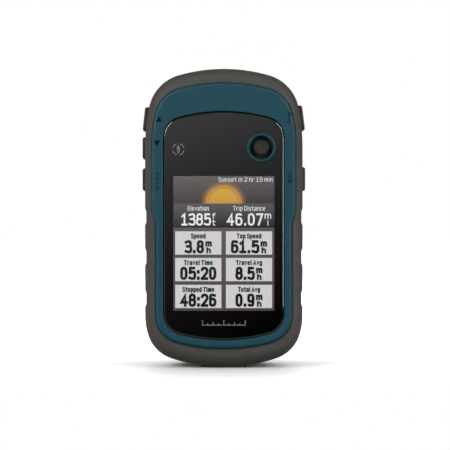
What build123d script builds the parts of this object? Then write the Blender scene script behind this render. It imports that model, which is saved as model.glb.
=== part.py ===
from build123d import *
import os
from math import asin, cos, degrees, radians, sin, sqrt

# Handheld satellite navigator, standing on its foot. Millimetres, +Z up, the display faces -Y.
# X is across the front and Y is the depth, so a "y" below is how far back a face lies.

# ---- driving dimensions: outline of the case -----------------------------------------------------
HEIGHT = 103.0
HALF_WIDTH = 27.2
FOOT_GAP = 0.15          # the bottom arc floats this far above the ground, on the foot pad
KEY_OUTER = 28.2         # how far from the middle a side key reaches at its lower end
# An end of an outline is three tangent arcs: (radius, turn in degrees) for the first two.
CASE_TOP = ((56.1, 16.2), (14.5, 62.3))
CASE_BOTTOM = ((58.0, 18.3), (12.4, 53.4))
BEZEL_TOP_Z = 97.6
BEZEL_BOTTOM_Z = 6.85
BEZEL_UPPER_HALF = 24.6
BEZEL_LOWER_HALF = 23.3
BEZEL_TOP = ((58.0, 15.4), (11.2, 58.5))
BEZEL_BOTTOM = ((62.6, 14.6), (10.3, 32.6))
BEZEL_STEP_Z = (54.9, 48.8)      # the bezel narrows between these heights
WINDOW_TOP_Z = 87.8
WINDOW_BOTTOM_Z = 9.8
WINDOW_HALF = 20.6
WINDOW_CROWN = 57.6
WINDOW_CORNER = 7.0

# ---- driving dimensions: layers from front to back -----------------------------------------------
BEZEL_FRONT = -15.6
WINDOW_FRONT = -15.4
WINDOW_BACK = -13.8
BAND_FRONT = -14.2
BAND_BACK = 9.0
WALL_FRONT = -13.4       # front face of the front housing
WALL_INNER = -12.2
PARTING = -0.2           # the rear housing starts here
GASKET = 0.4
BOARD_FRONT = -10.4
BOARD_BACK = -9.2
BACK_WALL_INNER = 11.4
LEDGE = 12.85            # the battery cover's seat
COVER_INNER = 13.1
BACK_FACE = 15.0
RAIL_BACK = 16.5

# ---- driving dimensions: wall insets from the outline --------------------------------------------
BAND_WALL = 1.8
HOUSING_WALL = 1.4
SHELL_INSET = 0.5        # the bare back shell sits this far inside the band
BAND_EDGE = 4.6
BACK_EDGE = 5.5
CAVITY = BAND_WALL + HOUSING_WALL
COVER_INSET = 6.6
BOARD_INSET = 5.6

# ---- driving dimensions: grips, foot and screws --------------------------------------------------
FRONT_ROUND = 3.2
BAND_BEVEL = 0.4
BEZEL_GROOVE = 0.25      # width of the shadow gap between the bezel and the band
GRIPS = ((48.8, 55.0), (34.9, 41.3), (20.8, 26.9))       # lowest and highest z of each grip recess
GRIP_DEPTH = 0.55
GRIP_SLOPE = 1.2
FOOT = (15.8, 3.0, 8.0)  # width, top z and half depth of the foot pad
SCREWS = ((18.9, 70.3), (15.5, 11.8))
BOSS = 2.3
SCREW = 1.0              # radius of a case screw and its hole
SCREW_HEAD = 1.9
SCREW_FRONT = -6.5
BOARD_SCREWS = ((17.0, 55.5), (17.0, 24.0))
BOARD_SCREW = 0.8
FAR = 40.0               # beyond every surface, for cuts that pass right through

# ---- driving dimensions: display and thumb stick -------------------------------------------------
SCREEN_X = 34.8
SCREEN_Z = 46.3
SCREEN_MID_Z = 42.8
PANEL_HALF = 18.7
PANEL_LOW = 16.2
PANEL_HIGH = 67.4
PANEL_BACK = -11.4
FLEX_BEND = (-11.35, 15.0, 0.8)  # y, z and radius of the ribbon's fold
FLEX_HALF = 7.0
FLEX_THICK = 0.15
STICK_X = 12.8
STICK_Z = 75.4
STICK_PIVOT = -11.5
STICK_TOP = -16.5
RING_OUTER = 5.05
RING_INNER = 3.95
RING_FRONT = -15.8
STICK_CAP = 2.6
STICK_SHAFT = 0.6
STICK_WELL = 4.0         # radius of the opening in the front housing
GIMBAL = 0.35            # half the thickness of the yoke and the rocker
YOKE_PIN = 0.3
ROCKER_PIN = 0.25

# ---- driving dimensions: keys --------------------------------------------------------------------
KEY_FRONT = -8.5
KEY_BACK = -1.5
KEY_GAP = 0.25
KEY_CORNER = 1.4         # corner radius of a key seen from its side
KEY_FLANGE = 0.9         # how far the retaining flange reaches past the key
KEY_WALL_X = 15.0        # key holes are cut from here
KEY_FAR_X = 32.0         # to here, outside the case
KEYS = {                 # side (-1 left, +1 right), lowest z, highest z, outer x at the highest z
    "zoom_in": (-1, 81.6, 90.0, 27.3),
    "zoom_out": (-1, 71.9, 79.6, KEY_OUTER),
    "menu": (-1, 60.9, 68.8, KEY_OUTER),
    "back": (1, 81.9, 90.6, 27.1),
    "power": (1, 60.9, 69.2, KEY_OUTER),
}
SWITCH_Y = -7.8
SWITCH_IN = 16.6
SWITCH_OUT = 19.2
SWITCH_BACK = -6.4
SWITCH_HALF = 2.3
PLUNGER = 0.7            # radius of a switch plunger
PLUNGER_OUT = 19.9
PLUNGER_LONG = 1.4

# ---- driving dimensions: battery bay, latch and port ---------------------------------------------
CELL_RADIUS = 7.25
CELL_LENGTH = 50.5
CELL_X = 7.5
CELL_Y = 5.6
NUB = (2.75, 1.0)        # radius and height of the positive end
BAY_HALF = 15.4
BAY_LOW = 26.0
BAY_HIGH = 81.0
BAY_FLOOR = -1.9
BAY_WALL = 1.2
COVER_TOP = 83.2
LATCH_Z = 17.3
RECESS_RADIUS = 7.9
RECESS_FLOOR = 12.75
RING_PIVOT_Y = 14.0
RING_RADIUS = 6.75
RING_WIRE = 0.75
RING_PIN = 0.5
HEAD_RADIUS = 5.6
CUP_BACK = 11.75
LUG_FRONT = 6.9
LUG_REACH = 5.2
KEEPER_SEAT = 8.5
KEEPER_RADIUS = 8.1
SPINDLE = 2.0
RUNNING = 0.05           # radial clearance of a running fit
RAIL_HALF = 6.2
RAIL_NECK = 4.5
RAIL_LOW = 33.0
RAIL_HIGH = 76.0
RAIL_UNDER = 15.4
PORT_Z = 90.4
PORT_CAP = (18.0, 10.0)
PORT_HINGE = (14.1, PORT_Z - PORT_CAP[1] / 2 + 0.9)      # y and z of the flap's rolled lower edge
PORT_PLUG = 12.75        # front end of the plug behind the flap
PORT_MOUTH = 4.0         # front end of the connector's cavity
PLATE = 0.4
SPRING_ROOM = BAY_HIGH - BAY_LOW - 2 * PLATE - CELL_LENGTH
SPRING = (0.32, 3.2, 1.05)       # wire radius, coil radius and pitch
CARD_LOW = 45.4
CARD_FRONT = -2.75
SOCKET_HALF = 6.2
SOCKET_HIGH = 60.8
COVER_HOOKS = (30.0, 70.0)       # the lower z of the hooks under the cover


# ---- shape helpers -------------------------------------------------------------------------------
def box(x0, x1, y0, y1, z0, z1):
    return Pos((x0 + x1) / 2, (y0 + y1) / 2, (z0 + z1) / 2) * Box(x1 - x0, y1 - y0, z1 - z0)


def rod_x(y, z, radius, x0, x1):
    return Pos((x0 + x1) / 2, y, z) * Rot(0, 90, 0) * Cylinder(radius, abs(x1 - x0))


def rod_y(x, z, radius, y0, y1):
    return Pos(x, (y0 + y1) / 2, z) * Rot(90, 0, 0) * Cylinder(radius, abs(y1 - y0))


def rod_z(x, y, radius, z0, z1):
    return Pos(x, y, (z0 + z1) / 2) * Cylinder(radius, abs(z1 - z0))


def pad_y(x, z, width, height, corner, y0, y1):
    """A rounded rectangle in the front plane, thick from y0 to y1."""
    plane = Plane(origin=(0, y0, 0), x_dir=(1, 0, 0), z_dir=(0, -1, 0))
    return extrude(plane * Pos(x, z) * RectangleRounded(width, height, corner), amount=y0 - y1)


def turned_y(points, x, z):
    """A solid turned about a Y line through (x, z), from (radius, y) points."""
    profile = make_face(Polyline(*[(radius, y) for radius, y in points], close=True))
    return Pos(x, 0, z) * revolve(profile, Axis.Y)


def quadrant(end_z, up, half_width, arcs, inset=0.0):
    """Three tangent arcs from the middle of an end (up = 1 top, -1 bottom) round to the side."""
    (first, turn_1), (second, turn_2) = arcs
    sine_1 = sin(radians(turn_1))
    sine_2 = sin(radians(turn_1 + turn_2))
    third = 0.0
    if turn_1 + turn_2 < 90:
        third = (half_width - first * sine_1 - second * (sine_2 - sine_1)) / (1 - sine_2)
    runs = []
    x, z = 0.0, end_z - up * inset
    for radius, start, stop in (
        (first, 0, turn_1),
        (second, turn_1, turn_1 + turn_2),
        (third, turn_1 + turn_2, 90),
    ):
        if stop - start < 1e-6:
            continue
        reach = radius - inset
        centre = (x - reach * sin(radians(start)), z - up * reach * cos(radians(start)))
        points = [
            (
                centre[0] + reach * sin(radians(turn)),
                centre[1] + up * reach * cos(radians(turn)),
            )
            for turn in (start, (start + stop) / 2, stop)
        ]
        runs.append((centre, reach, points))
        x, z = points[-1]
    return runs


def outline(y, top, bottom, step=None):
    """A closed outline at depth y from its upper and lower quadrants, the same on both sides."""
    edges = []
    for side in (1, -1):
        for _, _, (a, b, c) in top + bottom:
            edges.append(ThreePointArc(*[(side * p[0], y, p[1]) for p in (a, b, c)]))
        high = top[-1][2][-1]
        low = bottom[-1][2][-1]
        high = (side * high[0], y, high[1])
        low = (side * low[0], y, low[1])
        if step:
            above = (high[0], y, step[0])
            below = (low[0], y, step[1])
            middle = tuple((a + b) / 2 for a, b in zip(above, below))
            edges += [
                Line(high, above),
                TangentArc(above, middle, tangent=(0, 0, -1)),
                TangentArc(below, middle, tangent=(0, 0, 1)),
                Line(below, low),
            ]
        else:
            edges.append(Line(high, low))
    return Wire(Wire.combine(edges)[0].edges())


def slab(make_outline, inset, y0, y1):
    return Solid.extrude(Face(make_outline(y0, inset)), Vector(0, y1 - y0, 0))


def case_outline(y, inset=0.0):
    return outline(
        y,
        quadrant(HEIGHT, 1, HALF_WIDTH, CASE_TOP, inset),
        quadrant(FOOT_GAP, -1, HALF_WIDTH, CASE_BOTTOM, inset),
    )


def bezel_outline(y, inset=0.0):
    return outline(
        y,
        quadrant(BEZEL_TOP_Z, 1, BEZEL_UPPER_HALF, BEZEL_TOP, inset),
        quadrant(BEZEL_BOTTOM_Z, -1, BEZEL_LOWER_HALF, BEZEL_BOTTOM, inset),
        BEZEL_STEP_Z,
    )


def window_outline(y, inset=0.0):
    turn = degrees(asin((WINDOW_HALF - WINDOW_CORNER) / (WINDOW_CROWN - WINDOW_CORNER)))
    arcs = ((WINDOW_CROWN, turn), (WINDOW_CORNER, 90 - turn))
    return outline(
        y,
        quadrant(WINDOW_TOP_Z, 1, WINDOW_HALF, arcs, inset),
        quadrant(WINDOW_BOTTOM_Z, -1, WINDOW_HALF, arcs, inset),
    )


def half_width_at(z, inset=0.0):
    """Half the width of the case outline at height z, in its upper half."""
    for centre, reach, (start, _, stop) in quadrant(HEIGHT, 1, HALF_WIDTH, CASE_TOP, inset):
        if stop[1] <= z <= start[1]:
            return centre[0] + sqrt(reach**2 - (z - centre[1]) ** 2)
    return HALF_WIDTH - inset


def edges_at(solid, y):
    """The edges that lie in the plane at depth y."""
    return solid.edges().filter_by_position(Axis.Y, y - 1e-4, y + 1e-4)


def outer_loop(solid, y):
    """The outermost closed run of edges in the plane at depth y."""
    faces = solid.faces().filter_by_position(Axis.Y, y - 1e-4, y + 1e-4)
    return faces.sort_by(SortBy.AREA)[-1].outer_wire().edges()


# ---- case shells ---------------------------------------------------------------------------------
def front_block():
    block = slab(case_outline, BAND_WALL, WALL_FRONT, PARTING - GASKET)
    return fillet(edges_at(block, WALL_FRONT), FRONT_ROUND)


def rear_block():
    inside_band = slab(case_outline, BAND_WALL, PARTING, BAND_BACK)
    bare = slab(case_outline, SHELL_INSET, BAND_BACK, BACK_FACE)
    return inside_band + fillet(edges_at(bare, BACK_FACE), BACK_EDGE)


def key_hole(side, low, high):
    """Opening for a side key through the band and the housing wall."""
    return key_prism(side, low - KEY_GAP, high + KEY_GAP, KEY_GAP, KEY_WALL_X)


def key_prism(side, low, high, grow, x0):
    """A key's outline, grown by a gap, drawn outwards from x0."""
    width = KEY_BACK - KEY_FRONT + 2 * grow
    section = Plane.YZ * Pos((KEY_FRONT + KEY_BACK) / 2, (low + high) / 2)
    prism = extrude(section * RectangleRounded(width, high - low, KEY_CORNER + grow), amount=KEY_FAR_X - x0)
    prism = Pos(x0, 0, 0) * prism
    return prism if side > 0 else mirror(prism, Plane.YZ)


def screw_places():
    return [(side * x, z) for x, z in SCREWS for side in (1, -1)]


def make_front_housing():
    shell = front_block() - slab(case_outline, CAVITY, WALL_INNER, 0.0)
    shell += [
        rod_y(x, z, BOSS, WALL_INNER, PARTING - GASKET) - rod_y(x, z, SCREW, SCREW_FRONT - 0.5, 0.0)
        for x, z in screw_places()
    ]
    opening = (2 * PANEL_HALF + 1.0, PANEL_HIGH - PANEL_LOW + 1.0)
    shell -= pad_y(0, (PANEL_LOW + PANEL_HIGH) / 2, *opening, 0.1, -FAR, BOARD_BACK)
    shell -= rod_y(STICK_X, STICK_Z, STICK_WELL, -FAR, BOARD_BACK)
    pocket = 2 * STICK_WELL
    shell -= pad_y(STICK_X, STICK_Z, pocket, pocket, 0.5, -12.75, BOARD_BACK)
    for side, low, high, _ in KEYS.values():
        shell -= key_hole(side, low, high)
    return shell


def make_rubber_band():
    band = slab(case_outline, 0.0, BAND_FRONT, BAND_BACK)
    band = fillet(edges_at(band, BAND_FRONT), BAND_EDGE)
    band = chamfer(edges_at(band, BAND_BACK), BAND_BEVEL)
    band += foot_pad()
    band -= front_block()
    band -= slab(case_outline, BAND_WALL, PARTING - GASKET, BAND_BACK + 1)
    band -= slab(bezel_outline, -BEZEL_GROOVE, -FAR, WALL_FRONT)
    for side, low, high, _ in KEYS.values():
        band -= key_hole(side, low, high)
    for side in (-1, 1):
        for low, high in GRIPS:
            band -= grip_recess(side, low, high)
    return band


def foot_pad():
    width, top, deep = FOOT
    pad = pad_y(0, top / 2, width, top, 0.3, -deep, deep)
    return pad - slab(case_outline, 1.0, -deep - 1, deep + 1)


def grip_recess(side, low, high):
    """A shallow flat in the side of the band with sloped ends."""
    floor = HALF_WIDTH - GRIP_DEPTH
    profile = make_face(
        Plane.XZ
        * Polyline(
            (HALF_WIDTH, low),
            (floor, low + GRIP_SLOPE),
            (floor, high - GRIP_SLOPE),
            (HALF_WIDTH, high),
            (HALF_WIDTH + 1, high),
            (HALF_WIDTH + 1, low),
            close=True,
        )
    )
    cut = extrude(profile, amount=FAR, both=True)
    return cut if side > 0 else mirror(cut, Plane.YZ)


def make_rear_housing():
    wall = BAY_WALL
    shell = rear_block() - slab(case_outline, CAVITY, PARTING - 1, BACK_WALL_INNER)
    tray = box(-BAY_HALF - wall, BAY_HALF + wall, BAY_FLOOR - wall, BACK_WALL_INNER + 0.2,
               BAY_LOW - wall, BAY_HIGH + wall)
    shell += tray
    shell += rod_y(0, LATCH_Z, KEEPER_RADIUS + 2.2, LUG_FRONT - 2.7, BACK_WALL_INNER + 0.2)
    shell += [rod_y(x, z, BOSS, PARTING, BACK_WALL_INNER + 0.2) for x, z in screw_places()]
    shell -= box(-BAY_HALF, BAY_HALF, BAY_FLOOR, FAR, BAY_LOW, BAY_HIGH)
    shell -= rod_y(0, LATCH_Z, RECESS_RADIUS + 1.2, CUP_BACK - 0.4, FAR)
    shell -= rod_y(0, LATCH_Z, KEEPER_RADIUS + 0.1, KEEPER_SEAT, FAR)
    shell -= rod_y(0, LATCH_Z, LUG_REACH + 0.6, LUG_FRONT - 1.4, FAR)
    shell -= cover_block(0.15, LEDGE, FAR)
    for x, z in screw_places():
        shell -= rod_y(x, z, SCREW, PARTING - 1, FAR)
        shell -= rod_y(x, z, SCREW_HEAD + 0.1, BACK_WALL_INNER, FAR)
    slot = SOCKET_HALF + 0.2
    shell -= box(-slot, slot, BAY_FLOOR - 2, BAY_FLOOR + 0.1, CARD_LOW - 0.4, SOCKET_HIGH + 0.2)
    width, height = PORT_CAP
    shell -= pad_y(0, PORT_Z, width + 0.6, height + 1.6, 1.2, 13.0, FAR)
    shell -= pad_y(0, PORT_Z, 9.2, 5.4, 0.8, 10, FAR)
    return shell


def cover_block(grow, y0, y1):
    """The battery cover's shape, grown by a gap all round."""
    block = slab(case_outline, COVER_INSET - grow, y0, y1)
    block -= box(-FAR, FAR, y0 - 1, y1 + 1, COVER_TOP + grow, HEIGHT)
    corners = block.edges().filter_by(Axis.Y).group_by(Axis.Z)[-1]
    return fillet(corners, 4.0 + grow)


def make_case_gasket():
    ring = slab(case_outline, BAND_WALL + 0.15, PARTING - GASKET, PARTING)
    return ring - slab(case_outline, CAVITY - 0.15, PARTING - 1, PARTING + 1)


def make_case_screws():
    screws = []
    for x, z in screw_places():
        seat = BACK_WALL_INNER
        head = rod_y(x, z, SCREW_HEAD, seat, seat + 1.3)
        head -= pad_y(x, z, 2.4, 0.5, 0.2, seat + 0.7, FAR)
        screws.append(head + rod_y(x, z, SCREW, SCREW_FRONT, seat))
    return Compound(children=[s.solid() for s in screws])


# ---- front trim and display ----------------------------------------------------------------------
def make_front_bezel():
    bezel = slab(bezel_outline, 0.0, BEZEL_FRONT, WALL_FRONT)
    bezel = fillet(edges_at(bezel, BEZEL_FRONT), 1.1)
    bezel -= slab(window_outline, -0.08, -FAR, 0)
    inner = edges_at(bezel, BEZEL_FRONT).filter_by(lambda e: inside_window(e.center()))
    return fillet(inner, 0.35)


def inside_window(point):
    return abs(point.X) < WINDOW_HALF + 0.3 and WINDOW_BOTTOM_Z - 0.3 < point.Z < WINDOW_TOP_Z + 0.3


def make_display_window():
    window = slab(window_outline, 0.0, WINDOW_FRONT, WINDOW_BACK)
    window = fillet(edges_at(window, WINDOW_FRONT), 0.6)
    return window - rod_y(STICK_X, STICK_Z, RING_OUTER + 0.08, -FAR, 0)


def make_window_mask():
    mask = slab(window_outline, 0.1, WINDOW_BACK, WINDOW_BACK + 0.08)
    half_x = SCREEN_X / 2 + 0.1
    half_z = SCREEN_Z / 2 + 0.1
    mask -= box(-half_x, half_x, -FAR, 0, SCREEN_MID_Z - half_z, SCREEN_MID_Z + half_z)
    return mask - rod_y(STICK_X, STICK_Z, RING_OUTER + 0.08, -FAR, 0)


def make_window_seal():
    seal = slab(window_outline, 0.15, WINDOW_BACK + 0.08, WALL_FRONT)
    seal -= slab(window_outline, 1.15, -FAR, 0)
    seal += rod_y(STICK_X, STICK_Z, RING_OUTER + 1.1, WINDOW_BACK + 0.08, WALL_FRONT)
    return seal - rod_y(STICK_X, STICK_Z, RING_OUTER + 0.08, -FAR, 0)


def make_stick_ring():
    ring = rod_y(STICK_X, STICK_Z, RING_OUTER, RING_FRONT, WALL_FRONT)
    ring -= rod_y(STICK_X, STICK_Z, RING_INNER, -FAR, 0)
    return fillet(edges_at(ring, RING_FRONT), 0.4)


def make_lcd_panel():
    glass = box(-PANEL_HALF, PANEL_HALF, WINDOW_BACK + 0.15, PANEL_BACK, PANEL_LOW, PANEL_HIGH)
    return chamfer(glass.edges().filter_by(Axis.Y), 0.3)


def make_lcd_frame():
    lip = 0.25
    half = PANEL_HALF + lip
    front, back = PANEL_BACK - 1.6, PANEL_BACK + 0.4
    tray = box(-half, half, front, back, PANEL_LOW - lip, PANEL_HIGH + lip)
    tray -= box(-PANEL_HALF, PANEL_HALF, -FAR, PANEL_BACK, PANEL_LOW, PANEL_HIGH)
    notch = FLEX_HALF + 1
    return tray - box(-notch, notch, -FAR, PANEL_BACK, PANEL_LOW - 1, PANEL_LOW + 1)


def make_lcd_flex():
    """A ribbon from the panel's lower edge, folded back under the panel."""
    half, thick = FLEX_HALF, FLEX_THICK
    bend_y, bend_z, bend = FLEX_BEND
    front = box(-half, half, bend_y - bend, bend_y - bend + thick, bend_z, PANEL_LOW)
    back = box(-half, half, bend_y + bend - thick, bend_y + bend, bend_z, bend_z + 9)
    fold = rod_x(bend_y, bend_z, bend, -half, half)
    fold -= rod_x(bend_y, bend_z, bend - thick, -half - 1, half + 1)
    fold -= box(-half - 1, half + 1, -FAR, 0, bend_z, bend_z + 5)
    return front + back + fold


# ---- thumb stick: cap on a shaft that slides in a rocker, in a yoke, in a base -------------------
def make_stick_base():
    half = 3.8
    base = box(STICK_X - half, STICK_X + half, -12.6, BOARD_FRONT, STICK_Z - half, STICK_Z + half)
    base = chamfer(base.edges().filter_by(Axis.Y), 0.6)
    base -= rod_y(STICK_X, STICK_Z, 2.9, -12.2, 0)
    base -= rod_y(STICK_X, STICK_Z, 1.5, -FAR, 0)
    reach = half - 0.4
    return base - rod_x(STICK_PIVOT, STICK_Z, YOKE_PIN + RUNNING, STICK_X - reach, STICK_X + reach)


def gimbal_plate(radius):
    return rod_y(STICK_X, STICK_Z, radius, STICK_PIVOT - GIMBAL, STICK_PIVOT + GIMBAL)


def make_stick_yoke():
    yoke = gimbal_plate(2.55)
    yoke += rod_x(STICK_PIVOT, STICK_Z, YOKE_PIN, STICK_X - 3.3, STICK_X + 3.3)
    yoke -= rod_y(STICK_X, STICK_Z, 1.75, -FAR, 0)
    return yoke - rod_z(STICK_X, STICK_PIVOT, ROCKER_PIN + RUNNING, STICK_Z - 2.3, STICK_Z + 2.3)


def make_stick_rocker():
    rocker = gimbal_plate(1.55)
    rocker += rod_z(STICK_X, STICK_PIVOT, ROCKER_PIN, STICK_Z - 2.2, STICK_Z + 2.2)
    return rocker - rod_y(STICK_X, STICK_Z, STICK_SHAFT + RUNNING, -FAR, 0)


def make_stick_shaft():
    return rod_y(STICK_X, STICK_Z, STICK_SHAFT, RING_FRONT, STICK_PIVOT + GIMBAL + 0.1)


def make_stick_cap():
    """A turned button: a narrow foot, a straight rim and a slightly dished top."""
    rim = STICK_CAP
    profile = [
        (0, STICK_TOP + 2.3),
        (1.4, STICK_TOP + 2.3),
        (rim, STICK_TOP + 1.5),
        (rim, STICK_TOP + 0.55),
        (rim - 0.55, STICK_TOP),
        (0, STICK_TOP + 0.12),
    ]
    cap = turned_y(profile, STICK_X, STICK_Z)
    return cap - rod_y(STICK_X, STICK_Z, STICK_SHAFT, RING_FRONT, 0)


def make_stick_boot():
    """A silicone disc that closes the well round the shaft, with a raised rim."""
    boot = rod_y(STICK_X, STICK_Z, STICK_WELL, -13.35, -12.8)
    boot -= rod_y(STICK_X, STICK_Z, STICK_WELL - 0.6, -FAR, -13.2)
    return boot - rod_y(STICK_X, STICK_Z, 1.5, -FAR, 0)


# ---- side keys -----------------------------------------------------------------------------------
def key_flange_x(high):
    """Outer face of a key's retaining flange, just inside the housing wall."""
    return half_width_at(high + KEY_FLANGE, CAVITY) - 0.35


def outer_slope(low, high, x_high):
    """A big block whose inner face is the line a key's outer face follows."""
    x_low = KEY_OUTER
    lean = x_low - x_high
    tall = high - low
    profile = make_face(
        Plane.XZ
        * Polyline(
            (x_low + lean, low - tall),
            (x_high - lean, high + tall),
            (FAR, high + tall),
            (FAR, low - tall),
            close=True,
        )
    )
    return extrude(profile, amount=FAR, both=True)


def make_key(side, low, high, x_high):
    flange_x = key_flange_x(high)
    middle = (low + high) / 2
    stem = key_prism(1, low, high, 0.0, flange_x - 0.4) - outer_slope(low, high, x_high)
    face = stem.faces().sort_by(Axis.X)[-1]
    stem = fillet(face.outer_wire().edges(), 0.7)
    flange = box(flange_x - 0.8, flange_x, KEY_FRONT - 0.6, KEY_BACK + 0.6,
                 low - KEY_FLANGE, high + KEY_FLANGE)
    nib = rod_x(SWITCH_Y, middle, 0.9, PLUNGER_OUT, flange_x - 0.4)
    key = stem + flange + nib
    return key if side > 0 else mirror(key, Plane.YZ)


def make_plunger(side, low, high, _):
    inner = PLUNGER_OUT - PLUNGER_LONG
    return rod_x(SWITCH_Y, (low + high) / 2, PLUNGER, side * inner, side * PLUNGER_OUT)


def make_tact_switches():
    bodies = []
    for side, low, high, _ in KEYS.values():
        middle = (low + high) / 2
        z0, z1 = middle - SWITCH_HALF, middle + SWITCH_HALF
        body = box(SWITCH_IN, SWITCH_OUT, BOARD_BACK, SWITCH_BACK, z0, z1)
        body = chamfer(body.edges().filter_by(Axis.X), 0.3)
        body -= rod_x(SWITCH_Y, middle, PLUNGER + RUNNING, SWITCH_OUT - PLUNGER_LONG, FAR)
        bodies.append((body if side > 0 else mirror(body, Plane.YZ)).solid())
    return Compound(children=bodies)


# ---- electronics ---------------------------------------------------------------------------------
def make_main_board():
    board = slab(case_outline, BOARD_INSET, BOARD_FRONT, BOARD_BACK)
    for x, z in screw_places():
        board -= rod_y(x, z, BOSS + 0.2, -FAR, 0)
    for x, z in board_screw_places():
        board -= rod_y(x, z, BOARD_SCREW, -FAR, 0)
    return board


def board_screw_places():
    return [(side * x, z) for x, z in BOARD_SCREWS for side in (1, -1)]


def make_board_screws():
    screws = []
    for x, z in board_screw_places():
        screw = rod_y(x, z, 1.4, BOARD_BACK, BOARD_BACK + 0.9)
        screw += rod_y(x, z, BOARD_SCREW, BOARD_FRONT - 0.5, BOARD_BACK)
        screw -= pad_y(x, z, 1.8, 0.4, 0.15, BOARD_BACK + 0.5, 0)
        screws.append(screw.solid())
    return Compound(children=screws)


def make_shield_cans():
    """Open-backed pressed covers over the processor and the radio."""
    sheet, lid = 0.3, -6.9
    cans = []
    for half, low, high in ((9.5, 42.0, 60.0), (8.0, 17.0, 33.0)):
        can = box(-half, half, BOARD_BACK, lid, low, high)
        inner = half - sheet
        can -= box(-inner, inner, -FAR, lid - sheet, low + sheet, high - sheet)
        cans.append(can.solid())
    return Compound(children=cans)


def make_patch_antenna():
    """A square ceramic patch with a thin silvered face."""
    half, middle, face = 10.0, 75.0, -5.2
    silver = half - 2.0
    patch = box(-half, half, BOARD_BACK, face, middle - half, middle + half)
    patch = chamfer(patch.edges().filter_by(Axis.Y), 1.0)
    return patch + box(-silver, silver, face, face + 0.1, middle - silver, middle + silver)


def make_piezo_sounder():
    z, lid = 37.6, -6.6
    return rod_y(0, z, 4.0, BOARD_BACK, lid) - rod_y(0, z, 0.8, lid - 0.8, 0)


def make_port_shell():
    shell = pad_y(0, PORT_Z, 7.9, 4.1, 0.7, 3.4, 12.7)
    return shell - pad_y(0, PORT_Z, 7.2, 3.4, 0.4, PORT_MOUTH, FAR)


def make_port_tongue():
    return box(-2.6, 2.6, PORT_MOUTH, 11.6, PORT_Z - 0.5, PORT_Z + 0.5)


def make_port_header():
    """The block that carries the connector down to the board, with five pins."""
    back = 3.4
    header = box(-4.2, 4.2, -1.0, back, PORT_Z - 1.4, PORT_Z + 1.4)
    pins = [
        box(x - 0.2, x + 0.2, BOARD_BACK, back, PORT_Z - 0.2, PORT_Z + 0.2)
        for x in (-3.2, -1.6, 0.0, 1.6, 3.2)
    ]
    return header + pins


# ---- battery bay ---------------------------------------------------------------------------------
def make_cell(x, nub_up):
    can_low = BAY_LOW + PLATE + (SPRING_ROOM if nub_up else NUB[1])
    can_high = can_low + CELL_LENGTH - NUB[1]
    can = rod_z(x, CELL_Y, CELL_RADIUS, can_low, can_high)
    can = fillet(can.edges(), 0.5)
    if nub_up:
        return can + rod_z(x, CELL_Y, NUB[0], can_high, can_high + NUB[1])
    return can + rod_z(x, CELL_Y, NUB[0], can_low - NUB[1], can_low)


def make_cell_springs():
    """A coil at each cell's flat end: the left cell's is above it, the right cell's below."""
    wire, radius, pitch = SPRING
    height = SPRING_ROOM - 2 * wire - 0.1
    springs = []
    for x, low in ((-CELL_X, BAY_HIGH - PLATE - SPRING_ROOM), (CELL_X, BAY_LOW + PLATE)):
        path = Pos(x, CELL_Y, low + wire + 0.05) * Helix(pitch, height, radius)
        section = Plane(origin=path @ 0, z_dir=path % 0) * Circle(wire)
        springs.append(sweep(section, path, is_frenet=True).solid())
    return Compound(children=springs)


def make_contact_plates():
    plates = [
        box(x - 5.5, x + 5.5, CELL_Y - 5.5, CELL_Y + 5.5, BAY_LOW, BAY_LOW + PLATE).solid()
        for x in (-CELL_X, CELL_X)
    ]
    return Compound(children=plates)


def make_link_contact():
    plate = box(-13.5, 13.5, CELL_Y - 5.5, CELL_Y + 5.5, BAY_HIGH - PLATE, BAY_HIGH)
    return chamfer(plate.edges().filter_by(Axis.Z), 1.0)


def make_card_socket():
    socket = box(-SOCKET_HALF, SOCKET_HALF, -3.1, BAY_FLOOR, CARD_LOW - 0.2, SOCKET_HIGH)
    slot = SOCKET_HALF - 0.6
    return socket - box(-slot, slot, CARD_FRONT, 0, CARD_LOW + 0.1, FAR + SOCKET_HIGH)


def make_memory_card():
    card = box(-5.5, 5.5, CARD_FRONT, -2.0, CARD_LOW + 0.1, CARD_LOW + 15.1)
    return chamfer(card.edges().filter_by(Axis.Y).group_by(Axis.Z)[-1], 1.0)


def make_card_door():
    half, low, high = 5.4, 47.0, 58.0
    door = box(-half, half, BAY_FLOOR + 0.05, BAY_FLOOR + 0.3, low, high)
    return door - rod_y(0, high - 2.5, 1.2, -FAR, 0)


# ---- battery cover, latch and carrying ring ------------------------------------------------------
def make_battery_cover():
    cover = cover_block(0.0, COVER_INNER, BACK_FACE)
    cover = fillet(outer_loop(cover, BACK_FACE), 0.4)
    cover += rod_y(0, LATCH_Z, RECESS_RADIUS + 0.8, CUP_BACK, COVER_INNER)
    cover -= rod_y(0, LATCH_Z, RECESS_RADIUS, RECESS_FLOOR, FAR)
    cover -= rod_y(0, LATCH_Z, SPINDLE + RUNNING, 0, FAR)
    rail_mid = (RAIL_LOW + RAIL_HIGH) / 2
    rail_long = RAIL_HIGH - RAIL_LOW
    cover -= pad_y(0, rail_mid, 18.4, rail_long + 5.0, 2.5, BACK_FACE - 0.9, FAR)
    cover += pad_y(0, rail_mid, 2 * RAIL_NECK, rail_long, 1.0, BACK_FACE - 1.0, RAIL_UNDER)
    head = pad_y(0, rail_mid, 2 * RAIL_HALF, rail_long, 1.5, RAIL_UNDER, RAIL_BACK)
    cover += chamfer(edges_at(head, RAIL_BACK), 0.35)
    cover -= pad_y(0, RAIL_LOW + 6.5, 4.0, 2.6, 0.5, RAIL_BACK - 0.8, FAR)
    for x in (-13.2, 13.2):
        for low in COVER_HOOKS:
            cover += box(x - 0.6, x + 0.6, COVER_INNER - 1.1, COVER_INNER, low, low + 4.0)
    return cover


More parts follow.
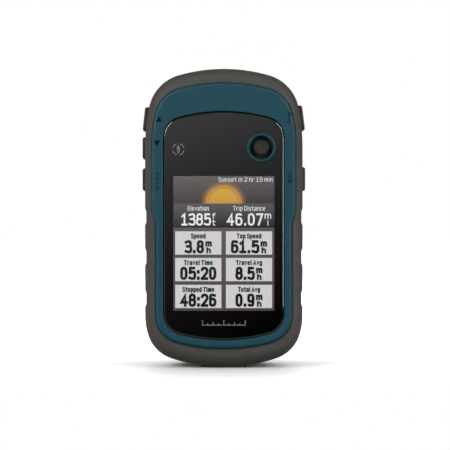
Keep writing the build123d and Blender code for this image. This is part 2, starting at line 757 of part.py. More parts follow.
def make_cover_gasket():
    ring = cover_block(-0.5, LEDGE + 0.02, COVER_INNER)
    return ring - cover_block(-1.7, 0, FAR)


def make_latch_spindle():
    spindle = rod_y(0, LATCH_Z, HEAD_RADIUS, RECESS_FLOOR + 0.1, BACK_FACE)
    spindle = fillet(edges_at(spindle, BACK_FACE), 0.4)
    spindle -= rod_y(0, LATCH_Z, 3.1, 0, RECESS_FLOOR + 0.74)
    spindle += rod_y(0, LATCH_Z, SPINDLE, LUG_FRONT, RECESS_FLOOR + 0.8)
    spindle += box(-1.6, 1.6, LUG_FRONT, LUG_FRONT + 1.2, LATCH_Z - LUG_REACH, LATCH_Z + LUG_REACH)
    spindle -= rod_x(RING_PIVOT_Y, LATCH_Z, RING_PIN, -FAR, FAR)
    for side in (-1, 1):
        spindle -= rod_y(0, LATCH_Z + side * 12.6, 10.0, BACK_FACE - 0.5, FAR)
    return spindle


def make_latch_o_ring():
    return Pos(0, RECESS_FLOOR + 0.37, LATCH_Z) * Rot(90, 0, 0) * Torus(2.5, 0.35)


def make_latch_washer():
    return rod_y(0, LATCH_Z, 3.6, 11.1, 11.6) - rod_y(0, LATCH_Z, SPINDLE, 0, FAR)


def make_latch_keeper():
    keeper = rod_y(0, LATCH_Z, KEEPER_RADIUS, KEEPER_SEAT, KEEPER_SEAT + 0.8)
    slot = LUG_REACH + 0.4
    keeper -= box(-2.0, 2.0, 0, FAR, LATCH_Z - slot, LATCH_Z + slot)
    return keeper - rod_y(0, LATCH_Z, SPINDLE + 0.6, 0, FAR)


def make_ring_pin():
    return rod_x(RING_PIVOT_Y, LATCH_Z, RING_PIN, -7.4, 7.4)


def make_d_ring():
    """Half a hoop hanging below its pivot line, with an eye at each end."""
    hoop = Pos(0, RING_PIVOT_Y, LATCH_Z) * Rot(90, 0, 0) * Torus(RING_RADIUS, RING_WIRE)
    hoop -= box(-FAR, FAR, 0, FAR, LATCH_Z, LATCH_Z + 20)
    for side in (-1, 1):
        hoop += rod_x(RING_PIVOT_Y, LATCH_Z, 0.95, side * 6.0, side * 7.5)
    return hoop - rod_x(RING_PIVOT_Y, LATCH_Z, RING_PIN + RUNNING, -FAR, FAR)


def make_port_cap():
    width, height = PORT_CAP
    plate = pad_y(0, PORT_Z, width, height, 1.3, 13.2, BACK_FACE)
    plate = fillet(outer_loop(plate, BACK_FACE), 0.3)
    plate -= box(-FAR, FAR, 10, FAR, PORT_HINGE[1] - 10, PORT_HINGE[1])
    plate += rod_x(*PORT_HINGE, 0.9, 0.3 - width / 2, width / 2 - 0.3)
    plate += pad_y(0, PORT_Z, 8.4, 4.5, 0.6, PORT_PLUG, 13.2)
    return plate - pad_y(0, PORT_Z + 3.6, 7.0, 0.9, 0.4, BACK_FACE - 0.4, FAR)


# ---- every piece, one file each ------------------------------------------------------------------
def make_parts():
    parts = {
        "front_housing": make_front_housing(),
        "front_bezel": make_front_bezel(),
        "display_window": make_display_window(),
        "window_mask": make_window_mask(),
        "window_seal": make_window_seal(),
        "rubber_band": make_rubber_band(),
        "rear_housing": make_rear_housing(),
        "case_gasket": make_case_gasket(),
        "case_screws": make_case_screws(),
        "main_board": make_main_board(),
        "board_screws": make_board_screws(),
        "shield_cans": make_shield_cans(),
        "patch_antenna": make_patch_antenna(),
        "piezo_sounder": make_piezo_sounder(),
        "lcd_panel": make_lcd_panel(),
        "lcd_frame": make_lcd_frame(),
        "lcd_flex": make_lcd_flex(),
        "tact_switches": make_tact_switches(),
        "stick_ring": make_stick_ring(),
        "stick_base": make_stick_base(),
        "stick_yoke": make_stick_yoke(),
        "stick_rocker": make_stick_rocker(),
        "stick_shaft": make_stick_shaft(),
        "stick_cap": make_stick_cap(),
        "stick_boot": make_stick_boot(),
        "battery_left": make_cell(-CELL_X, False),
        "battery_right": make_cell(CELL_X, True),
        "cell_springs": make_cell_springs(),
        "contact_plates": make_contact_plates(),
        "link_contact": make_link_contact(),
        "card_socket": make_card_socket(),
        "memory_card": make_memory_card(),
        "card_door": make_card_door(),
        "battery_cover": make_battery_cover(),
        "cover_gasket": make_cover_gasket(),
        "latch_spindle": make_latch_spindle(),
        "latch_o_ring": make_latch_o_ring(),
        "latch_washer": make_latch_washer(),
        "latch_keeper": make_latch_keeper(),
        "d_ring": make_d_ring(),
        "d_ring_pin": make_ring_pin(),
        "port_cap": make_port_cap(),
        "port_shell": make_port_shell(),
        "port_tongue": make_port_tongue(),
        "port_header": make_port_header(),
    }
    for name, place in KEYS.items():
        parts["key_" + name] = make_key(*place)
        parts["plunger_" + name] = make_plunger(*place)
    return parts


os.makedirs("parts", exist_ok=True)
for node, shape in make_parts().items():
    export_step(shape, f"parts/{node}.step")
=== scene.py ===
import math

import bmesh
import bpy
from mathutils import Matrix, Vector


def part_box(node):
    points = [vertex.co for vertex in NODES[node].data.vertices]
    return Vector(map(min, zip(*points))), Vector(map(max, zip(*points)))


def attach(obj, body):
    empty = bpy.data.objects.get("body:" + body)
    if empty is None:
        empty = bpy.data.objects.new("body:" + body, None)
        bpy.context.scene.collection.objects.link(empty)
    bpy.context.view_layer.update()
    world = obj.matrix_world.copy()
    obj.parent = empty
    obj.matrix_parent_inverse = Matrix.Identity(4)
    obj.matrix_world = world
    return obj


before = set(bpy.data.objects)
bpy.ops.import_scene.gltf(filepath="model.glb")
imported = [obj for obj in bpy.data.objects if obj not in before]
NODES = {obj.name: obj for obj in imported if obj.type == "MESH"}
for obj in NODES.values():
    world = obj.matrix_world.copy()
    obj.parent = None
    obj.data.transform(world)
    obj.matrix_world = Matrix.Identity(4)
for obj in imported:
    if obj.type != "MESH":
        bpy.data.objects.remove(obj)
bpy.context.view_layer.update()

MM = 0.001
SCENE = bpy.context.scene

# ---- studio settings --------------------------------------------------------------------------------
CAMERA_DISTANCE = 0.450
CAMERA_X, CAMERA_Z = 0.0004, 0.0491
HALF_VIEW = 0.0794           # half of the picture's width, at the middle of the object
FLOOR_NEAR, FLOOR_FAR, FLOOR_SIDE = -0.07, 4.0, 4.0
FLOOR_TONES = (0.93, 0.95)
# The floor gives off light that lifts it to the white behind it. The light grows from one level to another
# between two distances from the object's middle, which are this many times shorter behind the object.
# Painted shadow: the weaker glow near the object leaves the floor darker there, and the dark patch is
# shorter behind the object.
FLOOR_GLOW = (0.02, 1.0)
GLOW_REACH = (0.015, 0.1)
GLOW_SHORTER_BEHIND = 3
# Brightness of the studio against height, from -1 straight down to 1 straight up. The tilt counts places
# on the left as higher, which makes that side the brighter one.
SKY_LEVELS = (
    (-1.0, 0.1), (-0.35, 0.1), (-0.15, 0.0), (-0.1, 0.0), (-0.02, 0.22),
    (0.045, 0.58), (0.09, 1.0), (0.35, 0.8), (1.0, 0.3),
)
SKY_TILT = -0.35
BACK_LEVEL = 0.2             # brightness behind the object, against 1 in front
# Name, place, aim, size, power in watts, and whether it shows in gloss alone.
LIGHTS = (
    ("key_light", (-0.46, -0.38, 0.42), (0, 0, 0.09), (0.3, 0.3), 1.9, False),
    ("side_light", (0.55, -0.28, 0.34), (0, 0, 0.09), (0.3, 0.3), 1.1, False),
    ("top_light", (0.0, -0.1, 0.9), (0, 0, 0.0), (0.7, 0.5), 0.15, False),
    ("back_light", (0, 0.7, 0.3), (0, 0, 0.04), (0.5, 0.3), 2.2, False),
    ("edge_shine", (0.47, -0.47, 0.08), (0, 0, 0.06), (0.05, 0.20), 3.0, True),
    ("right_shine", (0.38, -0.48, 0.36), (0, 0, 0.08), (0.06, 0.30), 3.2, True),
    ("left_shine", (-0.38, -0.48, 0.32), (0, 0, 0.08), (0.06, 0.36), 4.2, True),
)

# ---- finishes ---------------------------------------------------------------------------------------
# Moulded surfaces: size of their clouds of colour, size of their duller and glossier patches, and how far
# those go from the usual roughness.
CLOUD_SIZE, GLOSS_PATCH_SIZE, GLOSS_SPREAD = 9 * MM, 3.2 * MM, 0.06
# Their pale specks: size against a grain, how strong and how much lighter they are at the most.
SPECK_SIZE, SPECK_STRENGTH, SPECK_LIGHTER = 1.7, 0.35, 1.35
# Their finer roughness: size and depth against a grain.
FINE_SIZE, FINE_DEPTH = 0.55, 0.6
BRUSH_SIZE, BRUSH_DEPTH = 0.4 * MM, 0.004 * MM      # marks on metal
# Where the boot turns from its own black to dark teal, the painted shade of the ring's inward-facing cone.
BOOT_BLACK_RADIUS, BOOT_TEAL_RADIUS = 2.7 * MM, 3.9 * MM

# ---- display layout ---------------------------------------------------------------------------------
PANEL_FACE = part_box("lcd_panel")[0].y       # depth of the display panel's front face
SCREEN_WIDE, SCREEN_TALL = 34.5 * MM, 46.0 * MM
SCREEN_MIDDLE_Z = 42.8 * MM
SCREEN_LEFT = -SCREEN_WIDE / 2
SCREEN_TOP = SCREEN_MIDDLE_Z + SCREEN_TALL / 2
SCREEN_MARGIN = 0.1 * MM                    # how much more of the window is clear, on each side
LAYER = 0.01 * MM                           # thickness of one layer of the display picture
# All the rest is in millimetres, measured down and across from the display's top left corner.
SKY_FOOT = 9.35
BAND_FOOT = 17.6
TILE_TOPS = (18.87, 27.96, 37.14)
TILE_TALL = 7.95
TILE_LEFTS = (0.62, 17.96)
TILE_WIDE = 15.8
SUN_ACROSS, SUN_RADIUS = 17.15, 6.25
SUN_CORE = 0.81                             # radius of its brighter core, in sun radii
HALO_START, HALO_END, HALO_STRENGTH = 0.97, 1.26, 0.65      # the glow round it, in sun radii
TITLE_LEFT, TITLE_RIGHT, TITLE_FOOT = 15.42, 33.98, 1.9
TITLE_CAP, TITLE_PEN = 1.5, 0.12            # capital height, and stroke width in capital heights
# How far the feet of a readout's label and value are below its top, how far its lower unit letter is below
# the upper one, and the gap between the value and its units.
LABEL_FOOT, VALUE_FOOT, UNIT_STEP, UNIT_GAP = 2.46, 7.54, 2.3, 0.5
# Capital height of labels and of values, then stroke width of labels, values and units in capital heights.
# Pale strokes look wider than they are.
PALE_STYLE = (1.6, 4.2, 0.12, 0.155, 0.15)
DARK_STYLE = (1.73, 4.55, 0.225, 0.21, 0.29)
# Half width and capital height of each unit letter.
UNIT_SHAPES = {"m": (1.13, 2.25), "h": (0.8, 2.1), "i": (0.25, 1.85), "f": (0.55, 1.95), "t": (0.55, 1.95)}
# Each readout is its label, the label's width, its value, the value's width, and its two unit letters.
TITLE = "Sunset in 2 hr 15 min"
BAND_READOUTS = (("Elevation", 7.2, "1385", 10.0, "ft"), ("Trip Distance", 11.0, "46.07", 12.4, "mi"))
TILE_READOUTS = (
    (("Speed", 5.0, "3.8", 6.6, "mh"), ("Top Speed", 8.5, "61.5", 9.6, "mh")),
    (("Travel Time", 9.9, "05:20", 12.4, ""), ("Travel Avg", 9.0, "8.5", 6.5, "mh")),
    (("Stopped Time", 10.9, "48:26", 12.4, ""), ("Total Avg", 7.6, "0.9", 6.5, "mh")),
)

# ---- places of the printed marks --------------------------------------------------------------------
INK = 0.02 * MM                             # thickness of printed marks
COMPASS_X, COMPASS_Z = -15.5 * MM, 74.9 * MM
SCALE_BAR_Z = 15.6 * MM
COVER_FACE = 15.0 * MM                      # depth of the battery cover's outer face
PADLOCK_X = 12.2 * MM
# Signs beside the keys, in millimetres: how far across, and how far above the middle of the key.
KEY_SIGNS = {
    "zoom_in": (-22.1, -0.6),
    "zoom_out": (-22.8, 1.2),
    "menu": (-22.7, -0.6),
    "back": (22.2, -0.7),
    "power": (22.5, 0.1),
}


# ---- shader helpers ---------------------------------------------------------------------------------
def linear(red, green, blue):
    """A colour given as 0-255 screen values, made linear."""
    out = []
    for value in (red, green, blue):
        value /= 255
        out.append(value / 12.92 if value <= 0.04045 else ((value + 0.055) / 1.055) ** 2.4)
    return (*out, 1.0)


def grey(level):
    return (level, level, level, 1.0)


def scaled(colour, factor):
    """A lighter or darker colour."""
    return (*[min(1.0, c * factor) for c in colour[:3]], 1.0)


def start(name, roughness, **sockets):
    """A new material, its node tree and its shader, with plain values on the shader's sockets."""
    material = bpy.data.materials.new(name)
    material.use_nodes = True
    shader = material.node_tree.nodes["Principled BSDF"]
    shader.inputs["Roughness"].default_value = roughness
    for socket, value in sockets.items():
        shader.inputs[socket.replace("_", " ")].default_value = value
    return material, material.node_tree, shader


def feed(tree, value, socket):
    """Link another node's output to a socket, or give the socket a plain value."""
    if hasattr(value, "links"):
        tree.links.new(value, socket)
    else:
        socket.default_value = value


def object_place(tree):
    """The place on the object, in the frame's own coordinates."""
    return tree.nodes.new("ShaderNodeTexCoord").outputs["Object"]


def along_axis(tree, vector, axis):
    """A vector's X, Y or Z."""
    split = tree.nodes.new("ShaderNodeSeparateXYZ")
    tree.links.new(vector, split.inputs[0])
    return split.outputs[axis]


def worked_out(tree, operation, *values):
    """The result of a Math node."""
    node = tree.nodes.new("ShaderNodeMath")
    node.operation = operation
    for value, socket in zip(values, node.inputs):
        feed(tree, value, socket)
    return node.outputs[0]


def vector_worked_out(tree, operation, *vectors):
    """The result of a Vector Math node: a number from some operations, a vector from the rest."""
    node = tree.nodes.new("ShaderNodeVectorMath")
    node.operation = operation
    for vector, socket in zip(vectors, node.inputs):
        feed(tree, vector, socket)
    return node.outputs["Value" if operation in ("LENGTH", "DISTANCE", "DOT_PRODUCT") else "Vector"]


def remap(tree, value, low, high, new_low, new_high):
    """Turn the range from low to high into another, with the values past its ends held there."""
    node = tree.nodes.new("ShaderNodeMapRange")
    limits = {"From Min": low, "From Max": high, "To Min": new_low, "To Max": new_high}
    for socket, number in limits.items():
        node.inputs[socket].default_value = number
    tree.links.new(value, node.inputs["Value"])
    return node.outputs[0]


def height_fade(tree, low, high):
    """0 at height low, 1 at height high."""
    return remap(tree, along_axis(tree, object_place(tree), "Z"), low, high, 0, 1)


def blend_colours(tree, factor, first, second):
    """The first colour where factor is 0, the second where it is 1."""
    node = tree.nodes.new("ShaderNodeMix")
    node.data_type = "RGBA"
    first_socket, second_socket, result = 6, 7, 2       # the Mix node's sockets for colours
    feed(tree, first, node.inputs[first_socket])
    feed(tree, second, node.inputs[second_socket])
    tree.links.new(factor, node.inputs[0])
    return node.outputs[result]


def colour_ramp(tree, place, stops, interpolation):
    """A colour that follows place along (position, colour) stops."""
    ramp = tree.nodes.new("ShaderNodeValToRGB")
    ramp.color_ramp.interpolation = interpolation
    elements = ramp.color_ramp.elements
    while len(elements) < len(stops):
        elements.new(1.0)
    for element, (position, colour) in zip(elements, stops):
        element.position = position
        element.color = colour
    tree.links.new(place, ramp.inputs[0])
    return ramp.outputs[0]


def grey_stops(pairs):
    return [(position, grey(level)) for position, level in pairs]


def noise(tree, size, detail=2.0, seed=0.0, stretch=None):
    """Noise with features about size across, shifted by seed and squeezed along each axis by stretch."""
    shift = tree.nodes.new("ShaderNodeMapping")
    shift.inputs["Location"].default_value = (seed, seed * 0.7, -seed)
    if stretch:
        shift.inputs["Scale"].default_value = stretch
    tree.links.new(object_place(tree), shift.inputs[0])
    texture = tree.nodes.new("ShaderNodeTexNoise")
    texture.inputs["Scale"].default_value = 1 / size
    texture.inputs["Detail"].default_value = detail
    tree.links.new(shift.outputs[0], texture.inputs["Vector"])
    return texture.outputs["Fac"]


def patches(tree, size, detail, seed, low=0, high=1):
    """Noise spread out to run from low to high."""
    return remap(tree, noise(tree, size, detail, seed), 0.3, 0.7, low, high)


def grains(tree, size):
    """Rounded cells about size across, as in a spark-eroded mould."""
    cells = tree.nodes.new("ShaderNodeTexVoronoi")
    cells.feature = "SMOOTH_F1"
    cells.inputs["Scale"].default_value = 1 / size
    tree.links.new(object_place(tree), cells.inputs["Vector"])
    return cells.outputs["Distance"]


def bump(tree, shader, height, depth):
    """Surface relief of some depth, added to any relief already there."""
    node = tree.nodes.new("ShaderNodeBump")
    node.inputs["Distance"].default_value = depth
    node.inputs["Strength"].default_value = 1.0
    tree.links.new(height, node.inputs["Height"])
    normal = shader.inputs["Normal"]
    if normal.links:
        tree.links.new(normal.links[0].from_socket, node.inputs["Normal"])
    tree.links.new(node.outputs[0], normal)


# ---- studio -----------------------------------------------------------------------------------------
def make_camera():
    """Straight on from the front, a little below the middle of the object."""
    data = bpy.data.cameras.new("camera")
    data.lens = data.sensor_width / 2 * CAMERA_DISTANCE / HALF_VIEW
    data.clip_start, data.clip_end = 0.01, 20
    camera = bpy.data.objects.new("camera", data)
    camera.location = (CAMERA_X, -CAMERA_DISTANCE, CAMERA_Z)
    camera.rotation_euler = (math.radians(90), 0, 0)
    SCENE.collection.objects.link(camera)
    SCENE.camera = camera


def make_floor():
    """A pale floor that runs on into the white behind it, with a glow that is least near the object: a
    painted contact shadow.
    """
    mesh = bpy.data.meshes.new("floor")
    corners = [
        (-FLOOR_SIDE, FLOOR_NEAR, 0), (FLOOR_SIDE, FLOOR_NEAR, 0),
        (FLOOR_SIDE, FLOOR_FAR, 0), (-FLOOR_SIDE, FLOOR_FAR, 0),
    ]
    mesh.from_pydata(corners, [], [(0, 1, 2, 3)])
    floor = bpy.data.objects.new("floor", mesh)
    SCENE.collection.objects.link(floor)
    material, tree, shader = start("floor_white", 0.7, Specular_IOR_Level=0.2)
    tone = blend_colours(tree, noise(tree, 50 * MM), *[grey(tone) for tone in FLOOR_TONES])
    tree.links.new(tone, shader.inputs["Base Color"])
    shader.inputs["Emission Color"].default_value = grey(1)
    # Painted shadow: the glow is least near the object and grows away from it, sooner behind it.
    place = object_place(tree)
    stretched = vector_worked_out(tree, "MULTIPLY", place, (1, GLOW_SHORTER_BEHIND, 1))
    away = vector_worked_out(tree, "LENGTH", vector_worked_out(tree, "MAXIMUM", stretched, place))
    tree.links.new(remap(tree, away, *GLOW_REACH, *FLOOR_GLOW), shader.inputs["Emission Strength"])
    mesh.materials.append(material)
    floor.visible_diffuse = False


def make_light(name, place, aim, size, power, gloss_only):
    data = bpy.data.lights.new(name, "AREA")
    data.shape = "RECTANGLE"
    data.size, data.size_y = size
    data.energy = power
    light = bpy.data.objects.new(name, data)
    light.location = place
    light.rotation_euler = (Vector(aim) - Vector(place)).to_track_quat("-Z", "Y").to_euler()
    light.visible_diffuse = not gloss_only
    SCENE.collection.objects.link(light)


def make_world():
    """White to the camera. What lights the object is brightest a little above level, dimmer overhead, dark
    below and dim behind."""
    world = bpy.data.worlds.new("studio")
    SCENE.world = world
    world.use_nodes = True
    tree = world.node_tree
    tree.nodes.clear()
    way = tree.nodes.new("ShaderNodeTexCoord").outputs["Generated"]
    height = remap(tree, vector_worked_out(tree, "DOT_PRODUCT", way, (SKY_TILT, 0, 1)), -1, 1, 0, 1)
    stops = grey_stops((0.5 + level_height / 2, level) for level_height, level in SKY_LEVELS)
    soft = tree.nodes.new("ShaderNodeBackground")
    tree.links.new(colour_ramp(tree, height, stops, "LINEAR"), soft.inputs["Color"])
    strength = remap(tree, along_axis(tree, way, "Y"), -0.1, 0.6, 1, BACK_LEVEL)
    tree.links.new(strength, soft.inputs["Strength"])
    seen = tree.nodes.new("ShaderNodeBackground")
    seen.inputs["Color"].default_value = grey(1)
    seen.inputs["Strength"].default_value = 1.0
    path = tree.nodes.new("ShaderNodeLightPath")
    mix = tree.nodes.new("ShaderNodeMixShader")
    tree.links.new(path.outputs["Is Camera Ray"], mix.inputs[0])
    tree.links.new(soft.outputs[0], mix.inputs[1])
    tree.links.new(seen.outputs[0], mix.inputs[2])
    out = tree.nodes.new("ShaderNodeOutputWorld")
    tree.links.new(mix.outputs[0], out.inputs[0])


# ---- materials --------------------------------------------------------------------------------------
def moulded(name, colour, roughness, grain=0.25 * MM, depth=0.02 * MM, cloud=0.12, gloss=0.3):
    """Moulded plastic or rubber: fine grain, faint clouding of the colour, pale specks, uneven gloss."""
    material, tree, shader = start(name, roughness, Specular_IOR_Level=gloss)
    clouds = patches(tree, CLOUD_SIZE, detail=3.0, seed=1.3)
    tone = blend_colours(tree, clouds, scaled(colour, 1 - cloud), scaled(colour, 1 + cloud))
    specks = remap(tree, noise(tree, grain * SPECK_SIZE, seed=4.1), 0.45, 0.75, 0, SPECK_STRENGTH)
    tone = blend_colours(tree, specks, tone, scaled(colour, SPECK_LIGHTER))
    tree.links.new(tone, shader.inputs["Base Color"])
    glossy, dull = roughness - GLOSS_SPREAD, roughness + GLOSS_SPREAD
    uneven = patches(tree, GLOSS_PATCH_SIZE, detail=4.0, seed=2.2, low=glossy, high=dull)
    tree.links.new(uneven, shader.inputs["Roughness"])
    bump(tree, shader, grains(tree, grain), depth)
    bump(tree, shader, noise(tree, grain * FINE_SIZE, seed=7.7), depth * FINE_DEPTH)
    return material


def printed(name, colour):
    """Smooth flat ink, very slightly uneven in colour."""
    material, tree, shader = start(name, 0.6, Specular_IOR_Level=0.04)
    uneven = patches(tree, 1.2 * MM, detail=2.0, seed=8.1)
    tone = blend_colours(tree, uneven, scaled(colour, 0.92), scaled(colour, 1.08))
    tree.links.new(tone, shader.inputs["Base Color"])
    return material


def metal(name, colour, roughness, stretch):
    """Brushed or drawn metal; stretch makes the brush marks run one way."""
    material, tree, shader = start(name, roughness, Metallic=1.0)
    marks = noise(tree, BRUSH_SIZE, detail=4.0, seed=3.3, stretch=stretch)
    brushed = remap(tree, marks, 0.35, 0.65, 0, 1)
    tone = blend_colours(tree, brushed, scaled(colour, 0.82), scaled(colour, 1.08))
    tree.links.new(tone, shader.inputs["Base Color"])
    uneven = patches(tree, 4 * MM, detail=3.0, seed=0.4, low=roughness - 0.08, high=roughness + 0.1)
    tree.links.new(uneven, shader.inputs["Roughness"])
    bump(tree, shader, marks, BRUSH_DEPTH)
    return material


def boot_material():
    """Soft silicone, black round the stick; the dark teal towards the ring is painted shade of the ring's
    inner cone.
    """
    material, tree, shader = start("stick_silicone", 0.6, Specular_IOR_Level=0.12)
    low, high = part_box("stick_boot")
    centre = ((low.x + high.x) / 2, low.y, (low.z + high.z) / 2)
    away = vector_worked_out(tree, "DISTANCE", object_place(tree), centre)
    painted_cone_shade = remap(tree, away, BOOT_BLACK_RADIUS, BOOT_TEAL_RADIUS, 0, 1)
    # Painted shade: the ring's teal colour, dark as its inward-facing cone is in shade, laid on the boot's
    # rim.
    tone = blend_colours(tree, painted_cone_shade, linear(3, 9, 13), linear(12, 60, 68))
    tree.links.new(tone, shader.inputs["Base Color"])
    bump(tree, shader, grains(tree, 0.2 * MM), 0.008 * MM)
    return material


def inside_display(tree):
    """1 over the display, 0 over the painted surround, at a place on the window."""
    place = object_place(tree)
    tests = []
    for axis, middle, half in (("X", 0.0, SCREEN_WIDE / 2), ("Z", SCREEN_MIDDLE_Z, SCREEN_TALL / 2)):
        along = along_axis(tree, place, axis)
        tests.append(worked_out(tree, "COMPARE", along, middle, half + SCREEN_MARGIN))
    return worked_out(tree, "MULTIPLY", *tests)


def window_material():
    """Clear polished plastic over the display, painted black from behind elsewhere."""
    material, tree, shader = start("clear_window", 0.02, IOR=1.49)
    inside = inside_display(tree)
    tree.links.new(inside, shader.inputs["Transmission Weight"])
    uneven = patches(tree, 4 * MM, detail=1.0, seed=6.0)
    paint = blend_colours(tree, uneven, linear(0, 0, 1), linear(2, 2, 3))
    tree.links.new(blend_colours(tree, inside, paint, (0.97, 0.98, 0.98, 1)), shader.inputs["Base Color"])
    return material


def cell_material(name, node, nub_up):
    """A sleeved battery: dark sleeve, a copper band towards the positive end, bright metal ends."""
    material, tree, shader = start(name, 0.3)
    low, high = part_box(node)
    minus, plus = (low.z, high.z) if nub_up else (high.z, low.z)
    along = height_fade(tree, minus, plus)
    bare, sleeve = linear(190, 190, 186), linear(24, 30, 36)
    pale_line, copper = linear(210, 214, 214), linear(176, 104, 48)
    # Where each colour and each shine starts, as a part of the way from the negative end.
    colours = [(0.0, bare), (0.02, sleeve), (0.66, pale_line), (0.68, copper), (0.962, bare)]
    shines = grey_stops([(0.0, 1.0), (0.02, 0.2), (0.68, 0.6), (0.962, 1.0)])
    for stops, socket in ((colours, "Base Color"), (shines, "Metallic")):
        tree.links.new(colour_ramp(tree, along, stops, "CONSTANT"), shader.inputs[socket])
    bump(tree, shader, noise(tree, 1.5 * MM), 0.006 * MM)
    return material


def lit(name):
    """A part of the display picture that gives off its own light."""
    material, tree, shader = start(name, 0.35, Specular_IOR_Level=0.0)
    shader.inputs["Base Color"].default_value = grey(0.004)
    shader.inputs["Emission Strength"].default_value = 1.0
    return material, tree, shader


def fading(name, low, high, low_colour, high_colour):
    """A lit display area whose colour changes with height."""
    material, tree, shader = lit(name)
    tone = blend_colours(tree, height_fade(tree, low, high), low_colour, high_colour)
    tree.links.new(tone, shader.inputs["Emission Color"])
    return material


def glowing(name, colour):
    """A lit display area of one colour with the faintest unevenness."""
    material, tree, shader = lit(name)
    uneven = patches(tree, 0.6 * MM, detail=1.0, seed=5.0)
    tone = blend_colours(tree, uneven, scaled(colour, 0.97), scaled(colour, 1.03))
    tree.links.new(tone, shader.inputs["Emission Color"])
    return material


def sky_material():
    """Dusk sky: grey-brown, a little darker low down, with a warm glow round the sun."""
    material, tree, shader = lit("display_sky")
    fade = height_fade(tree, down(SKY_FOOT), SCREEN_TOP)
    tone = blend_colours(tree, fade, linear(50, 44, 42), linear(91, 83, 83))
    sun = (across(SUN_ACROSS), PANEL_FACE, down(SKY_FOOT))
    away = vector_worked_out(tree, "DISTANCE", object_place(tree), sun)
    radius = SUN_RADIUS * MM
    halo = remap(tree, away, radius * HALO_START, radius * HALO_END, HALO_STRENGTH, 0)
    tone = blend_colours(tree, halo, tone, linear(190, 132, 70))
    tree.links.new(tone, shader.inputs["Emission Color"])
    return material


def repaint(names, material):
    """Give some CAD nodes a material."""
    for name in names:
        mesh = NODES[name].data
        if not mesh.materials:
            mesh.materials.append(material)
        for place in NODES[name].material_slots:
            place.material = material


def dress_case():
    """Rubber and plastic that show from outside."""
    rubber = moulded("grip_rubber", linear(57, 55, 48), 0.68, 0.32 * MM, 0.022 * MM, cloud=0.07, gloss=0.32)
    keys = moulded("key_rubber", linear(33, 32, 29), 0.5, 0.3 * MM, 0.014 * MM, cloud=0.06, gloss=0.18)
    stick = moulded("stick_rubber", linear(38, 40, 31), 0.6, 0.2 * MM, 0.014 * MM, cloud=0.06, gloss=0.15)
    teal = moulded("teal_paint", linear(23, 77, 91), 0.5, 0.2 * MM, 0.005 * MM, cloud=0.05, gloss=0.12)
    ring = moulded("ring_paint", linear(14, 62, 72), 0.45, 0.2 * MM, 0.005 * MM, cloud=0.05, gloss=0.15)
    shell = moulded("shell_plastic", linear(52, 52, 52), 0.55, 0.4 * MM, 0.03 * MM, cloud=0.08)
    repaint(["rubber_band"], rubber)
    repaint([name for name in NODES if name.startswith("key_")], keys)
    repaint(["stick_cap"], stick)
    repaint(["front_bezel"], teal)
    repaint(["stick_ring"], ring)
    repaint(["rear_housing", "battery_cover"], shell)
    repaint(["port_cap"], moulded("port_rubber", linear(46, 46, 45), 0.7, 0.3 * MM, cloud=0.07))
    repaint(["latch_spindle"], moulded("latch_plastic", linear(58, 58, 59), 0.45, 0.3 * MM, cloud=0.07))
    repaint(["stick_boot"], boot_material())
    repaint(["display_window"], window_material())
    repaint(["window_mask"], printed("black_print", linear(3, 3, 4)))


def dress_inside():
    """Seals, electronics, batteries and metal."""
    plastic = [
        "front_housing", "stick_base", "tact_switches", "piezo_sounder", "port_tongue", "port_header",
    ]
    nylon = [name for name in NODES if name.startswith("plunger_")] + ["stick_yoke", "stick_rocker"]
    sheet = ["card_door", "card_socket", "port_shell", "shield_cans", "lcd_frame", "stick_shaft"]
    turned = ["d_ring", "d_ring_pin", "latch_washer", "latch_keeper"]
    steel = linear(186, 186, 184)
    repaint(plastic, moulded("inner_plastic", linear(38, 38, 39), 0.5))
    repaint(nylon, moulded("nylon", linear(196, 192, 182), 0.5))
    repaint(["latch_o_ring"], moulded("silicone_black", linear(6, 11, 16), 0.6))
    repaint(["window_seal"], moulded("seal_foam", linear(30, 30, 31), 0.85))
    repaint(["case_gasket", "cover_gasket"], moulded("gasket_silicone", linear(122, 124, 126), 0.5))
    repaint(["main_board"], moulded("solder_mask", linear(14, 82, 44), 0.35, 0.8 * MM, 0.01 * MM))
    repaint(["patch_antenna"], moulded("antenna_ceramic", linear(188, 182, 165), 0.35))
    repaint(["memory_card"], moulded("card_black", linear(28, 28, 30), 0.4))
    repaint(["lcd_flex"], moulded("polyimide", linear(186, 120, 40), 0.3))
    repaint(["lcd_panel"], printed("panel_black", linear(5, 5, 6)))
    repaint(["case_screws", "board_screws"], metal("screw_zinc", linear(168, 170, 174), 0.35, (1, 1, 1)))
    repaint(turned, metal("ring_steel", steel, 0.3, (12, 1, 1)))
    repaint(sheet, metal("sheet_steel", steel, 0.32, (1, 1, 14)))
    nickel = metal("nickel", linear(206, 202, 190), 0.25, (1, 1, 6))
    repaint(["cell_springs", "contact_plates", "link_contact"], nickel)
    repaint(["battery_left"], cell_material("cell_left", "battery_left", nub_up=False))
    repaint(["battery_right"], cell_material("cell_right", "battery_right", nub_up=True))


# ---- flat shapes and pieces -------------------------------------------------------------------------
def rectangle(x0, x1, z0, z1):
    return [(x0, z0), (x1, z0), (x1, z1), (x0, z1)]


def arc(x, z, radius, start_turn, stop_turn, count=24):
    """Points on an arc, in turns anticlockwise from +X."""
    points = []
    for i in range(count + 1):
        turn = 2 * math.pi * (start_turn + (stop_turn - start_turn) * i / count)
        points.append((x + radius * math.cos(turn), z + radius * math.sin(turn)))
    return points


def band(x, z, inner, outer, start_turn, stop_turn, count=24):
    """A bent strip between two radii."""
    return arc(x, z, outer, start_turn, stop_turn, count) + arc(x, z, inner, stop_turn, start_turn, count)


